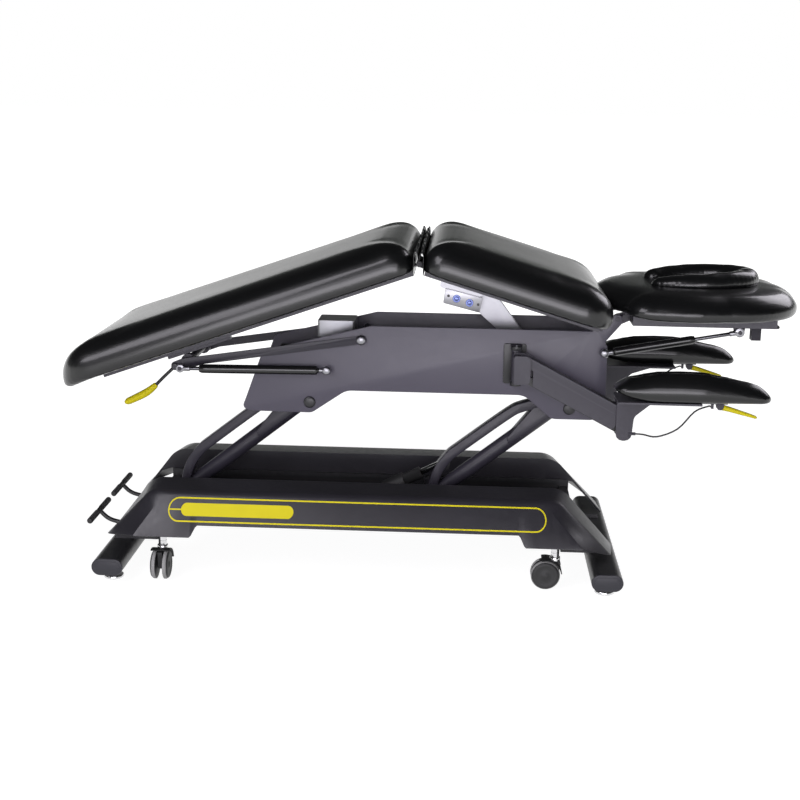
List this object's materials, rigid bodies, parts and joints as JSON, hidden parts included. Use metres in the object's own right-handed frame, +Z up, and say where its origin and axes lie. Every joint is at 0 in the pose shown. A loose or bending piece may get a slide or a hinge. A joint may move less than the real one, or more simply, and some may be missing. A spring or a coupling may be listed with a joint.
{
  "type": "electric massage table",
  "caption": "Electric massage table with folding leg section, tilting head section with a face hole, swinging armrests, parallel lift arms and a castor base.",
  "frame": {"origin": "on the floor, under the middle of the table's box", "axes": "+X towards the head end, +Y towards the far side, +Z up"},
  "size_m": [1.9152, 0.7, 0.9161],
  "materials": {
    "charcoal_paint": "satin",
    "black_paint": "satin",
    "chrome": "polished",
    "zinc": "satin",
    "aluminium": "satin",
    "black_plastic": "matte",
    "charcoal_plastic": "satin",
    "black_vinyl": "gloss",
    "yellow_plastic": "satin",
    "cable_rubber": "matte"
  },
  "bodies": {
    "base": {"foot_beam_leg_end": "black_paint", "foot_beam_head_end": "black_paint", "base_frame": "black_paint", "base_cover_near": "charcoal_plastic", "base_cover_far": "charcoal_plastic", "levelling_foot_leg_near": "chrome", "levelling_foot_leg_far": "chrome", "levelling_foot_head_near": "chrome", "levelling_foot_head_far": "chrome"},
    "castor_carriage": {"castor_carriage": "black_paint"},
    "pedal_near": {"pedal_near": "black_paint"},
    "pedal_far": {"pedal_far": "black_paint"},
    "lift_arm_leg_end": {"lift_arm_leg_end": "charcoal_paint"},
    "lift_arm_head_end": {"lift_arm_head_end": "charcoal_paint"},
    "lift_motor": {"lift_motor": "black_plastic"},
    "lift_rod": {"lift_rod": "zinc"},
    "chassis": {"chassis_side_near": "charcoal_paint", "chassis_side_far": "charcoal_paint", "chassis_tray": "black_paint", "control_box": "aluminium"},
    "mid_section": {"mid_frame": "black_paint", "mid_cushion": "black_vinyl", "mid_lift_bracket": "zinc"},
    "leg_section": {"leg_frame": "black_paint", "leg_cushion": "black_vinyl"},
    "head_section": {"head_frame": "charcoal_paint", "head_cushion": "black_vinyl", "face_cushion": "black_vinyl"},
    "mid_motor": {"mid_motor": "black_plastic"},
    "mid_rod": {"mid_rod": "zinc"},
    "leg_support_arm": {"leg_support_arm": "charcoal_paint"},
    "leg_strut_cylinder": {"leg_strut_cylinder": "black_paint"},
    "leg_strut_rod": {"leg_strut_rod": "black_paint"},
    "leg_release_lever": {"leg_release_lever": "yellow_plastic"},
    "head_strut_cylinder": {"head_strut_cylinder": "black_paint"},
    "head_strut_rod": {"head_strut_rod": "black_paint"},
    "head_handle": {"head_handle": "black_paint"},
    "castor_fork_leg_near": {"castor_fork_leg_near": "black_paint"},
    "castor_wheels_leg_near": {"castor_wheels_leg_near": "black_plastic"},
    "castor_fork_leg_far": {"castor_fork_leg_far": "black_paint"},
    "castor_wheels_leg_far": {"castor_wheels_leg_far": "black_plastic"},
    "castor_fork_head_near": {"castor_fork_head_near": "black_paint"},
    "castor_wheels_head_near": {"castor_wheels_head_near": "black_plastic"},
    "castor_fork_head_far": {"castor_fork_head_far": "black_paint"},
    "castor_wheels_head_far": {"castor_wheels_head_far": "black_plastic"},
    "armrest_knuckle_near": {"armrest_knuckle_near": "charcoal_paint"},
    "armrest_upper_link_near": {"armrest_upper_link_near": "charcoal_paint"},
    "armrest_lower_link_near": {"armrest_lower_link_near": "black_paint"},
    "armrest_lever_near": {"armrest_lever_near": "yellow_plastic"},
    "armrest_bracket_near": {"armrest_bracket_near": "charcoal_paint", "armrest_pad_near": "black_vinyl", "armrest_cable_near": "cable_rubber"},
    "armrest_knuckle_far": {"armrest_knuckle_far": "charcoal_paint"},
    "armrest_upper_link_far": {"armrest_upper_link_far": "charcoal_paint"},
    "armrest_lower_link_far": {"armrest_lower_link_far": "black_paint"},
    "armrest_lever_far": {"armrest_lever_far": "yellow_plastic"},
    "armrest_bracket_far": {"armrest_bracket_far": "charcoal_paint", "armrest_pad_far": "black_vinyl", "armrest_cable_far": "cable_rubber"}
  },
  "joints": [
    {"name": "lift", "type": "hinge", "parent": "base", "child": "lift_arm_leg_end", "pos_m": [-0.68841, 0, 0.168], "axis": [0, -1, 0], "range_deg": [-25, 28]},
    {"name": "lift_head_arm", "type": "hinge", "parent": "base", "child": "lift_arm_head_end", "pos_m": [0.00659, 0, 0.168], "axis": [0, -1, 0], "range_deg": [-25.1, 28.1]},
    {"name": "chassis_level", "type": "hinge", "parent": "lift_arm_leg_end", "child": "chassis", "pos_m": [-0.32741, 0, 0.454], "axis": [0, -1, 0], "range_deg": [-28.1, 25.1]},
    {"name": "lift_motor_tilt", "type": "hinge", "parent": "base", "child": "lift_motor", "pos_m": [-0.14841, 0, 0.171], "axis": [0, -1, 0], "range_deg": [-8.8, 9.8]},
    {"name": "lift_rod_slide", "type": "slide", "parent": "lift_motor", "child": "lift_rod", "axis": [0.8906, 0, 0.4549], "range_m": [-0.037, 0.033]},
    {"name": "back_lift", "type": "hinge", "parent": "chassis", "child": "mid_section", "pos_m": [0.44159, 0, 0.672], "axis": [0, 1, 0], "range_deg": [-16.8, 0]},
    {"name": "mid_motor_tilt", "type": "hinge", "parent": "chassis", "child": "mid_motor", "pos_m": [-0.13341, 0, 0.61], "axis": [0, 1, 0], "range_deg": [0, 5.8]},
    {"name": "mid_rod_slide", "type": "slide", "parent": "mid_motor", "child": "mid_rod", "axis": [0.9981, 0, -0.0616], "range_m": [0, 0.036]},
    {"name": "leg_fold", "type": "hinge", "parent": "mid_section", "child": "leg_section", "pos_m": [-0.03538, 0, 0.84494], "axis": [0, 1, 0], "range_deg": [0, 36.4]},
    {"name": "leg_support_swing", "type": "hinge", "parent": "chassis", "child": "leg_support_arm", "pos_m": [-0.18941, 0, 0.628], "axis": [0, 1, 0], "range_deg": [0, 9.6]},
    {"name": "leg_strut_tilt", "type": "hinge", "parent": "chassis", "child": "leg_strut_cylinder", "pos_m": [-0.27941, -0.145, 0.547], "axis": [0, 1, 0], "range_deg": [0, 11.6]},
    {"name": "leg_strut_slide", "type": "slide", "parent": "leg_strut_cylinder", "child": "leg_strut_rod", "axis": [-0.9999, 0, -0.0103], "range_m": [0, 0.015]},
    {"name": "leg_lever_press", "type": "hinge", "parent": "leg_support_arm", "child": "leg_release_lever", "pos_m": [-0.68838, -0.1333, 0.54495], "axis": [0, 1, 0], "range_deg": [0, 12], "stiffness_Nm_per_rad": 2},
    {"name": "head_tilt", "type": "hinge", "parent": "chassis", "child": "head_section", "pos_m": [0.48459, 0, 0.698], "axis": [0, -1, 0], "range_deg": [-12, 15]},
    {"name": "head_strut_tilt", "type": "hinge", "parent": "chassis", "child": "head_strut_cylinder", "pos_m": [0.45159, -0.145, 0.612], "axis": [0, -1, 0], "range_deg": [-10.4, 13]},
    {"name": "head_strut_slide", "type": "slide", "parent": "head_strut_cylinder", "child": "head_strut_rod", "axis": [0.9833, 0, 0.1819], "range_m": [-0.0163, 0.0203]},
    {"name": "head_handle_pull", "type": "hinge", "parent": "head_section", "child": "head_handle", "pos_m": [0.87259, 0, 0.688], "axis": [0, 1, 0], "range_deg": [0, 15], "stiffness_Nm_per_rad": 2, "springref_deg": -11.46},
    {"name": "armrest_swing_near", "type": "hinge", "parent": "chassis", "child": "armrest_knuckle_near", "pos_m": [0.22159, -0.15, 0.601], "axis": [0, 0, -1], "range_deg": [0, 60]},
    {"name": "armrest_lift_near", "type": "hinge", "parent": "armrest_knuckle_near", "child": "armrest_upper_link_near", "pos_m": [0.24359, -0.2, 0.601], "axis": [0, -1, 0], "range_deg": [-12, 18]},
    {"name": "armrest_lower_near", "type": "hinge", "parent": "armrest_knuckle_near", "child": "armrest_lower_link_near", "pos_m": [0.24359, -0.2, 0.552], "axis": [0, -1, 0], "range_deg": [-12.1, 18.1]},
    {"name": "armrest_level_near", "type": "hinge", "parent": "armrest_upper_link_near", "child": "armrest_bracket_near", "pos_m": [0.50304, -0.2, 0.46594], "axis": [0, -1, 0], "range_deg": [-18.1, 12.1]},
    {"name": "armrest_lever_press_near", "type": "hinge", "parent": "armrest_bracket_near", "child": "armrest_lever_near", "pos_m": [0.73854, -0.255, 0.50194], "axis": [0, -1, 0], "range_deg": [0, 12], "stiffness_Nm_per_rad": 1},
    {"name": "armrest_swing_far", "type": "hinge", "parent": "chassis", "child": "armrest_knuckle_far", "pos_m": [0.22159, 0.15, 0.601], "axis": [0, 0, 1], "range_deg": [0, 60]},
    {"name": "armrest_lift_far", "type": "hinge", "parent": "armrest_knuckle_far", "child": "armrest_upper_link_far", "pos_m": [0.24359, 0.2, 0.601], "axis": [0, -1, 0], "range_deg": [-12, 18]},
    {"name": "armrest_lower_far", "type": "hinge", "parent": "armrest_knuckle_far", "child": "armrest_lower_link_far", "pos_m": [0.24359, 0.2, 0.552], "axis": [0, -1, 0], "range_deg": [-12.1, 18.1]},
    {"name": "armrest_level_far", "type": "hinge", "parent": "armrest_upper_link_far", "child": "armrest_bracket_far", "pos_m": [0.50304, 0.2, 0.46594], "axis": [0, -1, 0], "range_deg": [-18.1, 12.1]},
    {"name": "armrest_lever_press_far", "type": "hinge", "parent": "armrest_bracket_far", "child": "armrest_lever_far", "pos_m": [0.73854, 0.255, 0.50194], "axis": [0, -1, 0], "range_deg": [0, 12], "stiffness_Nm_per_rad": 1},
    {"name": "castor_drop", "type": "slide", "parent": "base", "child": "castor_carriage", "axis": [0, 0, -1], "range_m": [0, 0.01]},
    {"name": "pedal_press_near", "type": "hinge", "parent": "base", "child": "pedal_near", "pos_m": [-0.78841, -0.126, 0.1], "axis": [0, -1, 0], "range_deg": [0, 12.1]},
    {"name": "pedal_press_far", "type": "hinge", "parent": "base", "child": "pedal_far", "pos_m": [-0.78841, 0.126, 0.1], "axis": [0, -1, 0], "range_deg": [0, 12], "stiffness_Nm_per_rad": 8, "springref_deg": -14.32},
    {"name": "castor_swivel_leg_near", "type": "hinge", "parent": "castor_carriage", "child": "castor_fork_leg_near", "pos_m": [-0.70341, -0.26, 0.0405], "axis": [0, 0, 1], "continuous": true},
    {"name": "castor_roll_leg_near", "type": "hinge", "parent": "castor_fork_leg_near", "child": "castor_wheels_leg_near", "pos_m": [-0.70341, -0.284, 0.0405], "axis": [1, 0, 0], "continuous": true},
    {"name": "castor_swivel_leg_far", "type": "hinge", "parent": "castor_carriage", "child": "castor_fork_leg_far", "pos_m": [-0.70341, 0.26, 0.0405], "axis": [0, 0, 1], "continuous": true},
    {"name": "castor_roll_leg_far", "type": "hinge", "parent": "castor_fork_leg_far", "child": "castor_wheels_leg_far", "pos_m": [-0.70341, 0.236, 0.0405], "axis": [1, 0, 0], "continuous": true},
    {"name": "castor_swivel_head_near", "type": "hinge", "parent": "castor_carriage", "child": "castor_fork_head_near", "pos_m": [0.33659, -0.26, 0.0405], "axis": [0, 0, 1], "continuous": true},
    {"name": "castor_roll_head_near", "type": "hinge", "parent": "castor_fork_head_near", "child": "castor_wheels_head_near", "pos_m": [0.31259, -0.26, 0.0405], "axis": [0, 1, 0], "continuous": true},
    {"name": "castor_swivel_head_far", "type": "hinge", "parent": "castor_carriage", "child": "castor_fork_head_far", "pos_m": [0.33659, 0.26, 0.0405], "axis": [0, 0, 1], "continuous": true},
    {"name": "castor_roll_head_far", "type": "hinge", "parent": "castor_fork_head_far", "child": "castor_wheels_head_far", "pos_m": [0.31259, 0.26, 0.0405], "axis": [0, 1, 0], "continuous": true}
  ],
  "couplings": [
    {"joint": "lift_head_arm", "follows": "lift", "ratio": 1},
    {"joint": "chassis_level", "follows": "lift", "ratio": -1},
    {"joint": "lift_motor_tilt", "follows": "lift", "ratio": 0.3478},
    {"joint": "lift_rod_slide", "follows": "lift", "m_per_rad": -0.07433},
    {"joint": "mid_motor_tilt", "follows": "back_lift", "ratio": -0.3413},
    {"joint": "mid_rod_slide", "follows": "back_lift", "m_per_rad": -0.1208},
    {"joint": "leg_fold", "follows": "back_lift", "ratio": -2.1607},
    {"joint": "leg_support_swing", "follows": "back_lift", "ratio": -0.566},
    {"joint": "leg_strut_tilt", "follows": "back_lift", "ratio": -0.686},
    {"joint": "leg_strut_slide", "follows": "back_lift", "m_per_rad": -0.0491},
    {"joint": "head_strut_tilt", "follows": "head_tilt", "ratio": 0.86},
    {"joint": "head_strut_slide", "follows": "head_tilt", "m_per_rad": 0.077},
    {"joint": "armrest_lower_near", "follows": "armrest_lift_near", "ratio": 1},
    {"joint": "armrest_level_near", "follows": "armrest_lift_near", "ratio": -1},
    {"joint": "armrest_lower_far", "follows": "armrest_lift_far", "ratio": 1},
    {"joint": "armrest_level_far", "follows": "armrest_lift_far", "ratio": -1},
    {"joint": "pedal_press_near", "follows": "castor_drop", "rad_per_m": 20.94}
  ]
}
